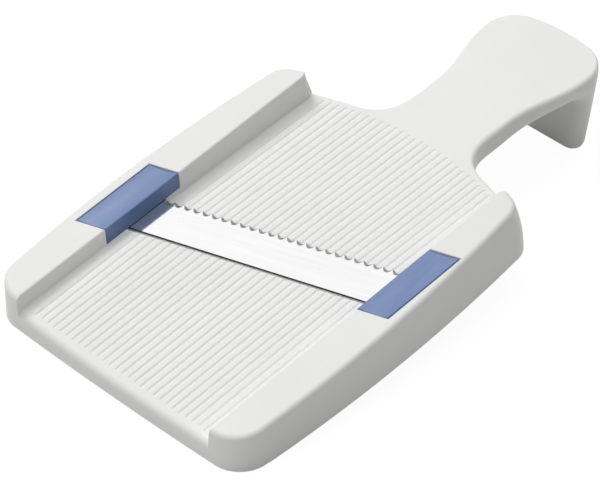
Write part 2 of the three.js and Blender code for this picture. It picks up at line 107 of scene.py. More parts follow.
BLADE_SKEW = math.radians(16.3)
BLADE_Y = 79.5
BLADE_WIDTH = 18.0
BLADE_THICKNESS = 0.8
BLADE_REACH = 9.0
SCALLOP_PITCH = 4.0
SCALLOP_RADIUS = 2.6
SCALLOP_ANGLE = math.radians(25)
SCALLOP_BITE = 0.6
WHEEL_LENGTH = 6 * SCALLOP_RADIUS
WHEEL_FACES = 64
EDGE_FACE_TILT = 0.3

CLIP_Y = 77.5
CLIP_HALF = 18.6
CLIP_WIDTH = 12.2
CLIP_PLATE = 2.4
CLIP_WALL = 2.4
CLIP_DISH = 0.45
CLIP_EDGE = 0.7
SEAT_RISE = 0.2
POCKET_EDGE = 0.3
POCKET_EDGE_MIDDLE = 0.09
LEDGE = 3.0
BOSS_TOP = -1.2
SLOT_TOP = 5.0
PEG_RADIUS = 2.0
PEG_INSET = 3.6

NECK_HALF = 19.5
NECK_FILLET = 15.8
NECK_LENGTH = 10.5
GRIP_HALF = 26.7
FLARE_EASE = 0.42
HANDLE_END = 240.4
GRIP_END_LENGTH = 14.5
GRIP_CORNER = 15.5
GRIP_END_TURN = math.radians(12)
GRIP_CORNER_STEPS = 22
HANDLE_THICKNESS = 9.6
LEAN_FADE_STEPS = 26
HOOK_DEPTH = 15.9
HOOK_TAPER = 2.6
HOOK_LEAN = math.tan(math.radians(3))
HOOK_FOOT_ROUND = 7.0
HOOK_COVE = 8.0
HOOK_WEB = 12.0
HOOK_WALL = WALL + 1
HOOK_OVERLAP = 1.0
UNDER_ROUND = 2.6
HOOK_INNER_ROUND = 7.5
ROLL_DEPTHS = (1, 0.75, 0.55, 0.38, 0.24, 0.13, 0.05, 0)
FOOT_EDGE = 5.0

# How far apart two faces lie that would otherwise coincide, and what counts as nothing
HAIR = 0.04
SLIVER = 0.003
WELD = 1e-4
NO_EDGE = 1e-5
SAME_POINT = 1e-6
MITRE_LEAST = 0.2

# How far tools reach past their work
PAST = 70.0
ABOVE = 20.0
DEEP = 90.0
ROLL_PAST = 2
FOOT_PAST = 5.0
BEFORE_RUNWAY = 15.0
BEHIND_RUNWAY = 25.0
BETWEEN_RAILS = (-20.0, 190.0)
RIM_CUT_PAST = 30.0
TABLE_NEAR = -100.0
TABLE_FAR = 300.0

# Solver and steps of cutting, and the angles in degrees from which an edge stays sharp
SOLVER = "MANIFOLD"
JOIN, AWAY, SHARED = "UNION", "DIFFERENCE", "INTERSECT"
MOULDING_SHARP = 33
STEEL_SHARP = 20

rail_climb = math.tan(RAIL_SLOPE)
foreshortening = math.cos(RAIL_SLOPE)
entry_depth = EXIT_DEPTH + BLADE_THICKNESS + SLICE
seat_depth = EXIT_DEPTH - SEAT_RISE
ledge_depth = EXIT_DEPTH + BLADE_THICKNESS + CLEARANCE
boss_foot = -ledge_depth - LEDGE
blade_slant = math.tan(BLADE_SKEW) * foreshortening
tuck_across = BLADE_WIDTH / 2 - ENTRY_TUCK
seam_across = -BLADE_WIDTH / 2 - BLADE_SEAM
entry_edge_y = BLADE_Y + BLADE_WIDTH / 2 / math.cos(BLADE_SKEW) * foreshortening
entry_fall_x = ENTRY_FALL * math.sin(BLADE_SKEW)
entry_fall_y = ENTRY_FALL * math.cos(BLADE_SKEW)
grip_side_end = HANDLE_END - GRIP_END_LENGTH
hook_face = HANDLE_END - HOOK_DEPTH
row_y = (NEAR_BOW - HANDLE_END) / 2


# Outlines, seen from above

def arc(x, y, radius, start, end, steps):
    turn = np.linspace(start, end, steps + 1)
    return np.column_stack([x + radius * np.cos(turn), y + radius * np.sin(turn)])


def bend(start, pull, end, steps):
    t = np.linspace(0, 1, steps + 1)[:, None]
    start, pull, end = (np.array(p, float) for p in (start, pull, end))
    return (1 - t) ** 2 * start + 2 * t * (1 - t) * pull + t ** 2 * end


def double_bend(start, pull, push, end, steps):
    t = np.linspace(0, 1, steps + 1)[:, None]
    start, pull, push, end = (np.array(p, float) for p in (start, pull, push, end))
    return (1 - t) ** 3 * start + 3 * t * (1 - t) ** 2 * pull + 3 * t ** 2 * (1 - t) * push + t ** 3 * end


def joined(*parts):
    points = np.vstack([np.atleast_2d(np.array(p, float)) for p in parts])
    step = np.linalg.norm(points - np.roll(points, 1, axis=0), axis=1)
    return points[step > SAME_POINT]


def quarter_turn(count):
    """Angles from 0 to a right angle."""
    return np.linspace(0, math.pi / 2, count)


def eased(share):
    """A share, held between 0 and 1, with a soft start and end."""
    share = np.clip(share, 0, 1)
    return share * share * (3 - 2 * share)


def inward(outline):
    """For each point of a counterclockwise outline, the way that moves both its edges in by one."""
    ahead = np.roll(outline, -1, axis=0) - outline
    ahead /= np.linalg.norm(ahead, axis=1)[:, None]
    left = np.column_stack([-ahead[:, 1], ahead[:, 0]])
    before = np.roll(left, 1, axis=0)
    return (left + before) / np.maximum(1 + (left * before).sum(axis=1), MITRE_LEAST)[:, None]


far_corner_x = FAR_HALF - FAR_CORNER
far_turn = math.atan2(2 * FAR_BOW, FAR_HALF)
far_edge_x = far_corner_x + FAR_CORNER * math.sin(far_turn)
far_corner_y = RAIL_LENGTH - FAR_CORNER * math.cos(far_turn)
near_corner_x = NEAR_HALF - NEAR_CORNER


def near_edge(x):
    return -NEAR_BOW * (1 - (x / near_corner_x) ** 2)


def far_edge(x):
    return RAIL_LENGTH + FAR_BOW * (1 - (x / far_edge_x) ** 2)


def leaned(y, z):
    """Y on the far faces, which lean out towards the rim from the height of the entry deck."""
    return y - np.maximum(y, 0) * FAR_DRAFT * (z + entry_depth) / RAIL_LENGTH


def body_outline(inset):
    near, far = NEAR_CORNER - inset, FAR_CORNER - inset
    bulge_x = (NEAR_HALF + FAR_HALF) / 2 + 2 * SIDE_BULGE - inset
    bulge_y = (NEAR_CORNER + far_corner_y) / 2
    x = far_corner_x + far * math.sin(far_turn)
    y = far_corner_y + far * math.cos(far_turn)
    quarter = math.pi / 2
    return joined(
        bend((-near_corner_x, inset), (0, inset - 2 * NEAR_BOW), (near_corner_x, inset), 24),
        arc(near_corner_x, NEAR_CORNER, near, -quarter, 0, 18),
        bend((NEAR_HALF - inset, NEAR_CORNER), (bulge_x, bulge_y), (FAR_HALF - inset, far_corner_y), 36),
        arc(far_corner_x, far_corner_y, far, 0, quarter - far_turn, 18),
        bend((x, y), (0, y + 2 * FAR_BOW), (-x, y), 40),
        arc(-far_corner_x, far_corner_y, far, quarter + far_turn, 2 * quarter, 18),
        bend((inset - FAR_HALF, far_corner_y), (-bulge_x, bulge_y), (inset - NEAR_HALF, NEAR_CORNER), 36),
        arc(-near_corner_x, NEAR_CORNER, near, 2 * quarter, 3 * quarter, 18))


fillet_x = NECK_HALF + NECK_FILLET
neck_start = far_edge(NECK_HALF) + NECK_FILLET
neck_end = neck_start + NECK_LENGTH
deck_back = far_edge(fillet_x)
deck_half = RUNWAY_HALF + WALL / 2


def handle_side(inset):
    """Right side of the handle, from its root on the far edge to the end of the grip's side."""
    neck, grip = NECK_HALF - inset, GRIP_HALF - inset
    ease = (grip_side_end - neck_end) * FLARE_EASE
    return joined(
        bend((fillet_x, deck_back), (neck, far_edge(NECK_HALF)), (neck, neck_start), 24),
        double_bend((neck, neck_end), (neck, neck_end + ease), (grip, grip_side_end - ease),
                    (grip, grip_side_end), 28))


def grip_end(inset):
    """Rounded end of the grip, from its right side to its left side."""
    corner = GRIP_HALF - inset - GRIP_CORNER
    tilt = math.tan(GRIP_END_TURN)
    end_x = corner + GRIP_CORNER * math.sin(GRIP_END_TURN)
    height = (HANDLE_END - inset - grip_side_end) / (math.cos(GRIP_END_TURN) + end_x * tilt / GRIP_CORNER / 2)
    turn = np.linspace(0, math.pi / 2 - GRIP_END_TURN, GRIP_CORNER_STEPS + 1)
    right = np.column_stack([corner + GRIP_CORNER * np.cos(turn), grip_side_end + height * np.sin(turn)])
    end_y = right[-1, 1]
    peak = (0, end_y + end_x * tilt * height / GRIP_CORNER)
    return joined(right, bend((end_x, end_y), peak, (-end_x, end_y), 16), other_side(right))


def other_side(points):
    return (points * (-1, 1))[::-1]


def blade_line(x, across):
    """Y of a line along the blade, so far across it from its middle towards the handle."""
    return BLADE_Y + foreshortening * (x * math.tan(BLADE_SKEW) + across / math.cos(BLADE_SKEW))


def clip_outline(low_x, high_x, half):
    """Parallelogram on the right-hand rail, its ends in line with the blade."""
    return np.array([(x, CLIP_Y + blade_slant * x + side * half)
                     for x, side in ((low_x, -1), (high_x, -1), (high_x, 1), (low_x, 1))])


# Solids

def solid(name, rings):
    """Closed solid through rings of points, ended by flat caps."""
    rings = [np.asarray(r, float) for r in rings]
    count = len(rings[0])
    build = bmesh.new()
    rows = [[build.verts.new(p) for p in ring] for ring in rings]
    for low, high in zip(rows, rows[1:]):
        for i in range(count):
            j = (i + 1) % count
            build.faces.new((low[i], low[j], high[j], high[i]))
    build.faces.new(rows[0][::-1])
    build.faces.new(rows[-1])
    bmesh.ops.remove_doubles(build, verts=build.verts, dist=WELD)
    bmesh.ops.dissolve_degenerate(build, edges=build.edges, dist=NO_EDGE)
    bmesh.ops.recalc_face_normals(build, faces=build.faces)
    mesh = bpy.data.meshes.new(name)
    build.to_mesh(mesh)
    build.free()
    piece = bpy.data.objects.new(name, mesh)
    bpy.context.scene.collection.objects.link(piece)
    return piece


def at_height(plan, z):
    """Points of a plan, at one height or at a height each."""
    return np.column_stack([plan, np.broadcast_to(z, len(plan))])


def at_place(profile, y):
    """Points of a profile in X and Z, at one place along the slicer or at a place each."""
    return np.column_stack([profile[:, 0], np.broadcast_to(y, len(profile)), profile[:, 1]])


def upright_rings(outline, low, top, edge=0.0, way=None, steps=7):
    """Rings of a block under an outline, its top edge rounded by that much at each point."""
    outline = np.asarray(outline, float)
    way = inward(outline) if way is None else way
    edge = np.broadcast_to(np.asarray(edge, float), len(outline))
    rings = [at_height(outline, low)]
    for turn in quarter_turn(steps + 1 if edge.max() > 0 else 1):
        plan = outline + way * (edge * (1 - math.cos(turn)))[:, None]
        rings.append(at_height(plan, top - edge * (1 - math.sin(turn))))
    return rings


def top_rounding(way):
    """Rounding of a top edge by the way in from it, softer on the right and near sides."""
    share = eased(0.5 + EDGE_CONTRAST * (way[:, 1] - way[:, 0]))
    return FAR_EDGE_ROUND + (EDGE_ROUND - FAR_EDGE_ROUND) * share


def rim_height(y):
    """Height of the rim's cut, level with the table under the foot and climbing behind it."""
    return math.tan(RIM_SLOPE) * np.maximum(y - FOOT_LENGTH, 0) - NEAR_HEIGHT - rail_climb * y


def body_block():
    """Whole block of the body under its outline, round at its rim and round at its top edge."""
    outline = body_outline(0)
    way = inward(outline)
    rim = rim_height(outline[:, 1])
    near = np.clip(1 - outline[:, 1] / NEAR_CORNER, 0, 1) * (1 - (outline[:, 0] / NEAR_HALF) ** 2)
    edge = SIDE_RIM_ROUND + (NEAR_RIM_ROUND - SIDE_RIM_ROUND) * near
    rings = [at_height(outline + way * edge[:, None], rim - WALL)]
    for turn in quarter_turn(7):
        plan = outline + way * (edge * (1 - math.sin(turn)))[:, None]
        rings.append(at_height(plan, rim + edge * (1 - math.cos(turn))))
    top = np.maximum(top_rounding(way), EDGE_ROUND * np.clip(-way[:, 1], 0, 1))
    far = np.clip((outline[:, 1] - RAIL_LENGTH + FAR_SWELL_LENGTH) / FAR_SWELL_RISE, 0, 1)
    swell = FAR_SWELL * far ** 2
    for t in np.linspace(0.1, 0.9, 7):
        plan = outline - way * (swell * math.sin(math.pi * t))[:, None]
        rings.append(at_height(plan, (rim + edge) * (1 - t) - top * t))
    rings += upright_rings(outline, 0, 0, top, way)[1:]
    return solid("slicer_body", with_lean(rings))


def with_lean(rings):
    return [np.column_stack([r[:, 0], leaned(r[:, 1], r[:, 2]), r[:, 2]]) for r in rings]


def entry_fall(x, y):
    """Height on the entry deck's falling plane, from 0 at the middle of its edge by the blade."""
    return entry_fall_x * x - entry_fall_y * (y - entry_edge_y)


def with_entry_fall(rings):
    return [r + np.column_stack([0 * r[:, :2], entry_fall(r[:, 0], r[:, 1])]) for r in rings]


def as_drawn(rings):
    """The rings of a piece of the right-hand rail, where they are."""
    return rings


def half_turned(rings):
    """The same on the left-hand rail, turned half round the middle of the clips."""
    return [np.column_stack([-r[:, 0], 2 * CLIP_Y - r[:, 1], r[:, 2]]) for r in rings]


def apply_modifiers(piece):
    """Gives the piece the mesh that its modifiers make, and takes them off."""
    seen = piece.evaluated_get(bpy.context.evaluated_depsgraph_get())
    mesh = bpy.data.meshes.new_from_object(seen)
    piece.modifiers.clear()
    old, piece.data = piece.data, mesh
    bpy.data.meshes.remove(old)


def cut(piece, *steps):
    """The piece after each step of joining, cutting away or keeping what is shared."""
    for kind, tool in steps:
        step = piece.modifiers.new(tool.name, "BOOLEAN")
        step.operation = kind
        step.solver = SOLVER
        step.object = tool
    apply_modifiers(piece)
    for tool in {t for _, t in steps}:
        bpy.data.meshes.remove(tool.data)
    return piece


# White moulding

def runway_ring(y, half, floor):
    """Space between the rails at one place along them, with round rail edges above and fillets below."""
    inner = half + RAIL_DRAFT * floor - DECK_FILLET
    right = [(x, floor) for x in np.linspace(0, inner, 14)[1:-1]]
    right += [(inner + DECK_FILLET * math.sin(t), floor + DECK_FILLET * (1 - math.cos(t)))
              for t in np.linspace(0, FILLET_SWEEP, 8)]
    right += [(half + RAIL_EDGE * (1 - math.cos(t)), RAIL_EDGE * (math.sin(t) - 1))
              for t in np.linspace(0, RAIL_EDGE_SWEEP, 6)]
    right = np.array(right + [(half + RAIL_EDGE, ABOVE)])
    profile = np.vstack([right, other_side(right), [(0, floor)]])
    return at_place(profile, y(profile[:, 0]))


def exit_runway():
    rings = [runway_ring(lambda x: near_edge(x) - BEFORE_RUNWAY, RUNWAY_HALF, -EXIT_DEPTH - LIP_ROUND)]
    for t in quarter_turn(15):
        back = LIP_ROUND * (1 - math.cos(t)) - HAIR
        floor = -EXIT_DEPTH - LIP_ROUND * (1 - math.sin(t))
        rings.append(runway_ring(lambda x: near_edge(x) + back, RUNWAY_HALF, floor))
    end = -BLADE_WIDTH / 2 + UNDER_BLADE
    rings.append(runway_ring(lambda x: blade_line(x, end), RUNWAY_HALF, -EXIT_DEPTH))
    return solid("exit_runway", rings)


def far_runway():
    """Throat under the blade and the whole of the runway behind it, out past the rails' rounded far ends."""
    lip = -BLADE_WIDTH / 2 + SEAT_LIP
    throat = runway_ring(lambda x: blade_line(x, lip), RUNWAY_HALF, -PAST)
    end = far_edge(RUNWAY_HALF + RAIL_END_ROUND)
    rings = []
    for t in quarter_turn(9):
        half = RUNWAY_HALF + RAIL_END_ROUND * (1 - math.cos(t))
        y = end - RAIL_END_ROUND * (1 - math.sin(t))
        rings.append(runway_ring(lambda x: y, half, -PAST))
    rings.append(runway_ring(lambda x: end + BEHIND_RUNWAY, RUNWAY_HALF + RAIL_END_ROUND, -PAST))
    return solid("far_runway", [throat] + with_lean(rings))


def handle_top(y):
    return -entry_depth + entry_fall(0, y)


def handle_under(y):
    return handle_top(y) - HANDLE_THICKNESS


hook_top = handle_top(hook_face) - HANDLE_THICKNESS / 2
hook_foot = -NEAR_HEIGHT - rail_climb * HANDLE_END
hook_start = hook_face - 2 * HOOK_COVE
under_table = hook_foot - HOOK_COVE


def handle_half(y, z):
    """Half width of the handle and the hook at a place along it and a height."""
    side = np.vstack([handle_side(0), grip_end(0)[1:GRIP_CORNER_STEPS + 1]])
    way = inward(np.vstack([side, other_side(side)]))[:len(side)]
    share = hook_share(side[:, 1], hook_start)
    half = []
    for along, height in zip(y, z):
        moved = side + way * (share * hook_draw(height))[:, None]
        moved[:, 1] -= share * HOOK_LEAN * max(hook_top - height, 0)
        half.append(np.interp(along, moved[:, 1], moved[:, 0]))
    return np.array(half)


def hook_share(y, start):
    """How far a place is along the way from the handle into the hook, from 0 to 1."""
    return eased((y - start) / max(hook_face - start, 1.0))


def hook_draw(z):
    return HOOK_TAPER * np.maximum(hook_top - z, 0) / (hook_top - hook_foot)


def under_rounding(y):
    """Rounding of the handle's lower edges, which grows towards the hook."""
    start, end = deck_back + 3 * HOOK_COVE, hook_face - HOOK_COVE
    return UNDER_ROUND + (HOOK_INNER_ROUND - UNDER_ROUND) * eased((y - start) / (end - start))


def under_handle():
    """Space under the handle, from the leaning back wall to the hook, with its edges rolled outwards."""
    cove_foot = handle_under(deck_back) - HOOK_COVE
    run_start, run_end = deck_back + HOOK_COVE, hook_face - HOOK_COVE
    back = bend((leaned(deck_back, cove_foot), cove_foot), (deck_back, handle_under(deck_back)),
                (run_start, handle_under(run_start)), 12)
    along = np.linspace(run_start, run_end, 26)[1:-1]
    run = np.column_stack([along, handle_under(along)])
    under = handle_under(hook_face)
    front = bend((run_end, handle_under(run_end)), (hook_face, under), (hook_face, under - HOOK_COVE), 12)
    down = np.column_stack([np.full(8, hook_face), np.linspace(under - HOOK_COVE, under_table, 9)[1:]])
    view = np.vstack([[(leaned(deck_back, under_table), under_table)], back, run, front, down])
    turn = np.concatenate([np.zeros(1 + len(back) + len(run)), quarter_turn(len(front)),
                           np.full(len(down), math.pi / 2)])
    way = np.column_stack([np.sin(turn), np.cos(turn)])
    rounding = np.concatenate([[0], UNDER_ROUND * np.linspace(0, 1, len(back)) ** 2, under_rounding(along),
                               np.full(len(front) + len(down), HOOK_INNER_ROUND)])
    rings = []
    for depth, past in [(d, 0) for d in ROLL_DEPTHS] + [(0, ROLL_PAST), (0, PAST)]:
        roll = rounding * (1 - math.sqrt(1 - (1 - depth) ** 2))
        plane = view + way * roll[:, None]
        half = handle_half(plane[:, 0], plane[:, 1])
        rings.append(np.column_stack([half - rounding * depth + past, plane]))
    return solid("under_handle", [r * (-1, 1, 1) for r in rings[::-1]] + rings)


def entry_deck_and_handle():
    edge_x = np.linspace(deck_half, fillet_x, 12)
    edge = np.column_stack([edge_x, far_edge(edge_x) - HAIR])
    right = joined(edge, handle_side(0)[1:])
    near = [(s * deck_half, blade_line(s * deck_half, tuck_across)) for s in (1, -1)]
    outline = np.vstack([near[:1], right, grip_end(0)[1:-1], other_side(right), near[1:]])
    way = inward(outline)
    way[1], way[-2] = way[2], way[-3]
    rounding = top_rounding(way)
    rounding[[0, -1]] = 0
    lean = np.zeros(len(outline))
    lean[1:len(edge)] = 1
    lean[len(edge):len(edge) + LEAN_FADE_STEPS] = np.linspace(1, 0, LEAN_FADE_STEPS)
    lean = np.maximum(lean, lean[::-1])
    rings = upright_rings(outline, -PAST, -entry_depth, rounding, way)
    rings = [np.column_stack([r[:, 0], r[:, 1] + lean * (leaned(r[:, 1], r[:, 2]) - r[:, 1]), r[:, 2]])
             for r in rings]
    block = solid("entry_deck", with_entry_fall(rings))
    low, far = -2 * PAST, HANDLE_END + PAST
    view = np.array([(hook_start, low), (far, low), (far, hook_top), (hook_start, hook_top)])
    room = solid("hook_room", [np.column_stack([np.full(len(view), x), view]) for x in (-PAST, PAST)])
    return cut(block, (AWAY, room), (JOIN, hook()), (AWAY, under_handle()))


def hook_rings(inset, start, top):
    """Rings of the hook, drawing in down to its foot; it leaves the handle's own sides at its start."""
    end = grip_end(inset)
    whole = np.vstack([handle_side(inset), end[1:GRIP_CORNER_STEPS + 1]])
    side = whole[whole[:, 1] > start + HAIR]
    right = np.vstack([[(np.interp(start, whole[:, 1], whole[:, 0]), start)], side])
    outline = np.vstack([right, end[GRIP_CORNER_STEPS + 1:-(GRIP_CORNER_STEPS + 1)], other_side(right)])
    share = hook_share(outline[:, 1], min(start, hook_face - 1))
    way = inward(outline)
    way[[0, -1]] = (-1, 0), (1, 0)
    table = -NEAR_HEIGHT - rail_climb * outline[:, 1]
    rings = []
    foot = [FOOT_EDGE * (1 - math.cos(t)) for t in quarter_turn(9)]
    for height in [-HOOK_COVE] + foot + list(np.linspace(FOOT_EDGE, hook_top - table[0], 8)[1:]):
        z = table + height * (hook_top - table) / (hook_top - table[0])
        low = FOOT_EDGE - min(max(height, 0), FOOT_EDGE)
        draw = HAIR + share * (hook_draw(z) + FOOT_EDGE - math.sqrt(FOOT_EDGE ** 2 - low ** 2))
        plan = outline + way * draw[:, None]
        plan[:, 1] -= share * HOOK_LEAN * np.maximum(hook_top - z, 0)
        rings.append(at_height(plan, z))
    rings.append(at_height(outline + way * HAIR, top))
    return rings


def foot_block(inset, low_y):
    """Block above the table that rounds the lower corners of the hook's foot, as seen from behind."""
    half = GRIP_HALF - inset - HOOK_TAPER * (1 - HOOK_FOOT_ROUND / (hook_top - hook_foot))
    right = joined(bend((half - HOOK_FOOT_ROUND, 0), (half, 0), (half, HOOK_FOOT_ROUND), 14),
                   (PAST, HOOK_FOOT_ROUND), (PAST, PAST))
    view = np.vstack([right, other_side(right)])
    return solid("foot_block", [at_place(view - (0, NEAR_HEIGHT + rail_climb * y), y)
                                for y in (low_y, HANDLE_END + FOOT_PAST)])


def hook():
    return cut(solid("hook", hook_rings(0, hook_start, hook_top + HOOK_OVERLAP)),
               (SHARED, foot_block(0, hook_start - FOOT_PAST)))


def deck_fillet(side):
    """Fillet between the entry deck and one rail, fading out at its ends."""
    level = -entry_depth
    wall = RUNWAY_HALF + RAIL_DRAFT * level
    start = blade_line(side * RUNWAY_HALF, tuck_across) + FILLET_START
    length = far_edge(RUNWAY_HALF) - FILLET_END - start
    rings = []
    for along in (*np.linspace(0, FILLET_LEAD_IN, 6), *np.linspace(length - FILLET_LEAD_OUT, length, 6)):
        size = DECK_FILLET
        for lead in (along / FILLET_LEAD_IN, (length - along) / FILLET_LEAD_OUT):
            size *= max(math.sqrt(1 - (1 - min(lead, 1)) ** 2), FILLET_LEAST)
        t = quarter_turn(9)
        curve = np.column_stack([wall - size + size * np.sin(t) + FILLET_SINK,
                                 level + size * (1 - np.cos(t)) - FILLET_SINK])
        back, low = wall + FILLET_ROOT, level - FILLET_ROOT
        profile = np.vstack([curve, [(back, level + size), (back, low), (wall - size, low)]])
        rings.append(at_place(profile * (side, 1), start + along))
    return solid("deck_fillet", with_entry_fall(rings))


def moulding():
    body = body_block()
    cut(body, (AWAY, exit_runway()), (AWAY, far_runway()))
    cut(body, (JOIN, entry_deck_and_handle()))
    for side in (-1, 1):
        cut(body, (JOIN, deck_fillet(side)))
    hollow(body)
    seat_clips_and_blade(body)
    return body


def hollow(body):
    """Open underside: inside the rails, under each deck, in the handle and in the hook."""
    inner = RUNWAY_HALF + WALL
    top, foot = inner + RAIL_DRAFT * ABOVE, inner - RAIL_DRAFT * DEEP
    wedge = [np.array([(-top, y, ABOVE), (-foot, y, -DEEP), (foot, y, -DEEP), (top, y, ABOVE)])
             for y in BETWEEN_RAILS]
    in_rails = cut(solid("in_rails", with_lean(upright_rings(body_outline(WALL), -PAST, -WALL))),
                   (AWAY, solid("between_rails", wedge)))

    reach = inner + 1
    x = np.linspace(-reach, reach, 24)
    near = np.column_stack([x, near_edge(x) + WALL + CLEARANCE])
    outline = joined(near, [(s * reach, blade_line(s * reach, tuck_across)) for s in (1, -1)])
    under_exit = solid("under_exit", upright_rings(outline, -PAST, -EXIT_DEPTH - WALL))

    roof = -entry_depth - WALL
    reach += CLEARANCE
    x = np.linspace(reach, -reach, 40)
    back = np.column_stack([x, np.minimum(far_edge(x), deck_back) - WALL - CLEARANCE])
    outline = joined([(s * reach, blade_line(s * reach, seam_across)) for s in (-1, 1)], back)
    under_entry = solid("under_entry", with_entry_fall(with_lean(upright_rings(outline, -PAST, roof))))

    side = handle_side(WALL)
    along = np.linspace(deck_back + HOOK_COVE, hook_face - HOOK_WEB, 24)
    half = np.interp(along, side[:, 1], side[:, 0]) + UNDER_ROUND - under_rounding(along)
    right = np.column_stack([half, along])
    in_handle = solid("in_handle", with_entry_fall(
        upright_rings(joined(right, other_side(right)), -PAST, roof)))

    top = hook_top - HANDLE_THICKNESS / 2 + HAIR
    in_hook = cut(solid("in_hook", hook_rings(HOOK_WALL, hook_face + 2 * WALL, top)),
                  (SHARED, foot_block(HOOK_WALL, hook_face)))
    cut(body, *((AWAY, tool) for tool in (in_rails, under_exit, under_entry, in_handle, in_hook)))


def seat_clips_and_blade(body):
    """Bosses in the rails, cut by the clips' pockets, their peg holes and the blade's slots."""
    fringe = CLEARANCE + WALL
    outer = RUNWAY_HALF + CLIP_WIDTH
    boss = upright_rings(clip_outline(RUNWAY_HALF, outer + fringe, CLIP_HALF + fringe), boss_foot, BOSS_TOP)
    pocket = []
    for edge, z in ((0, -seat_depth), (0, -POCKET_EDGE), (POCKET_EDGE_MIDDLE, -POCKET_EDGE_MIDDLE),
                    (POCKET_EDGE, HAIR / 4), (POCKET_EDGE, ABOVE)):
        grow = CLEARANCE + edge
        plan = clip_outline(RUNWAY_HALF - WALL, outer + grow, CLIP_HALF + grow)
        pocket.append(at_height(plan, z))
    for place in (as_drawn, half_turned):
        in_outline = solid("in_outline", upright_rings(body_outline(WALL / 2), -PAST, 0))
        cut(body, (JOIN, cut(solid("boss", place(boss)), (SHARED, in_outline))))
        cut(body, (AWAY, solid("pocket", place(pocket))))
        for hole in pegs(PEG_RADIUS + CLEARANCE, boss_foot - WALL, -CLEARANCE):
            cut(body, (AWAY, solid("peg_hole", place(hole))))
    slot = np.array([(u * math.cos(BLADE_SKEW) - v * math.sin(BLADE_SKEW),
                      BLADE_Y + foreshortening * (u * math.sin(BLADE_SKEW) + v * math.cos(BLADE_SKEW)))
                     for u, v in blade_plan(CLEARANCE)])
    cut(body, (AWAY, solid("blade_slot", upright_rings(slot, -ledge_depth, SLOT_TOP))))
    seam = [(s * RUNWAY_HALF, blade_line(s * RUNWAY_HALF, across))
            for s, across in ((-1, seam_across), (1, seam_across), (1, 0), (-1, 0))]
    cut(body, (AWAY, solid("blade_seam", upright_rings(seam, -ledge_depth, SLOT_TOP))))


def pegs(radius, low, high):
    """Rings of the two pegs under the right-hand clip."""
    x = RUNWAY_HALF + CLIP_WALL + (CLIP_WIDTH - CLIP_WALL) / 2
    y = CLIP_Y + blade_slant * x
    spread = CLIP_HALF - PEG_INSET
    rounds = [arc(x, y + side * spread, radius, 0, 2 * math.pi, 40)[:-1] for side in (-1, 1)]
    return [upright_rings(outline, low, high) for outline in rounds]


def blade_plan(grow):
    """Outline of the blade, along and across it, with ends that run square to the rails."""
    half, end = BLADE_WIDTH / 2 + grow, RUNWAY_HALF + BLADE_REACH + grow
    return np.array([((e + v * math.sin(BLADE_SKEW)) / math.cos(BLADE_SKEW), v)
                     for e, v in ((-end, -half), (end, -half), (end, half), (-end, half))])


# Node trees for what repeats

def tree_with(name, **inputs):
    """New geometry tree with the named inputs of each kind, its first one the piece to work on."""
    tree = bpy.data.node_groups.new(name, "GeometryNodeTree")
    for way in ("OUTPUT", "INPUT"):
        tree.interface.new_socket("Geometry", in_out=way, socket_type="NodeSocketGeometry")
    for kind, labels in inputs.items():
        for label in labels:
            tree.interface.new_socket(label, in_out="INPUT", socket_type="NodeSocket" + kind)
    return tree


class Bench:
    """Adds nodes to one tree and links them as they are called for."""

    def __init__(self, tree):
        self.tree = tree

    def node(self, kind, settings=None, **sockets):
        made = self.tree.nodes.new(kind)
        for key, value in (settings or {}).items():
            setattr(made, key, value)
        for key, value in sockets.items():
            self.feed(made.inputs[key.replace("_", " ")], value)
        return made

    def out(self, kind, settings=None, **sockets):
        """First output of a new node."""
        return self.node(kind, settings, **sockets).outputs[0]

    def feed(self, socket, value):
        if isinstance(value, bpy.types.NodeSocket):
            self.tree.links.new(value, socket)
        else:
            socket.default_value = value

    def maths(self, operation, first, second=None):
        made = self.node("ShaderNodeMath", {"operation": operation})
        self.feed(made.inputs[0], first)
        if second is not None:
            self.feed(made.inputs[1], second)
        return made.outputs[0]

    def vector(self, x=0.0, y=0.0, z=0.0):
        return self.out("ShaderNodeCombineXYZ", X=x, Y=y, Z=z)

    def axes(self, vector):
        return self.node("ShaderNodeSeparateXYZ", Vector=vector).outputs

    def position(self):
        return self.axes(self.out("GeometryNodeInputPosition"))

    def row(self, count, pitch, middle=0.0, y=0.0):
        """Points along X at one pitch, evenly about a middle."""
        half = self.maths("MULTIPLY", self.maths("SUBTRACT", count, 1.0), -0.5)
        first = self.maths("ADD", middle, self.maths("MULTIPLY", half, pitch))
        return self.out("GeometryNodeMeshLine", {"mode": "OFFSET"}, Count=count,
                        Start_Location=self.vector(first, y), Offset=self.vector(x=pitch))


def with_tree(piece, tree, values):
    """Puts the piece through the tree with these values of its inputs, and makes it plain again."""
    step = piece.modifiers.new(tree.name, "NODES")
    step.node_group = tree
    keys = {item.name: item.identifier for item in tree.interface.items_tree if item.in_out == "INPUT"}
    for label, value in values.items():
        step[keys[label]] = value
    apply_modifiers(piece)


